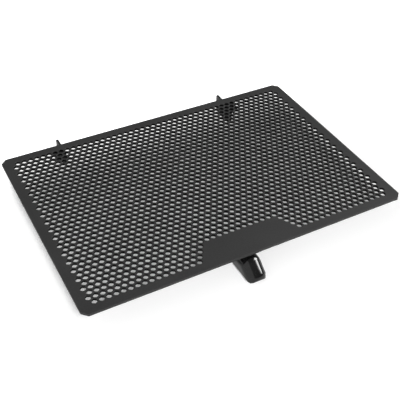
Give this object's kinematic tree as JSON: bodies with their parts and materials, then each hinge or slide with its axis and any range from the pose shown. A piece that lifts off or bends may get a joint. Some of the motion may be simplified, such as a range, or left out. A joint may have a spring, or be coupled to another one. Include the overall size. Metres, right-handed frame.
{
  "type": "motorcycle radiator guard",
  "caption": "Flat perforated sheet guard for a motorcycle radiator, with bolted ears behind its upper edge and a rubber-booted hook behind its lower edge.",
  "frame": {"origin": "Under the middle of the whole guard, on the surface that its brackets and boot stand on.", "axes": "X along the long side of the sheet, Y from its lower edge with the boot to its upper edge with the ears, Z out of its face."},
  "size_m": [0.379, 0.2944, 0.027],
  "materials": {
    "coated_sheet": "matt black powder coat",
    "coated_bracket": "satin black powder coat",
    "boot_rubber": "glossy black moulded rubber"
  },
  "bodies": {
    "root": {"mesh_plate": "coated_sheet", "left_upper_bracket": "coated_bracket", "right_upper_bracket": "coated_bracket", "lower_bracket": "coated_bracket", "hook_boot": "boot_rubber"}
  },
  "joints": []
}
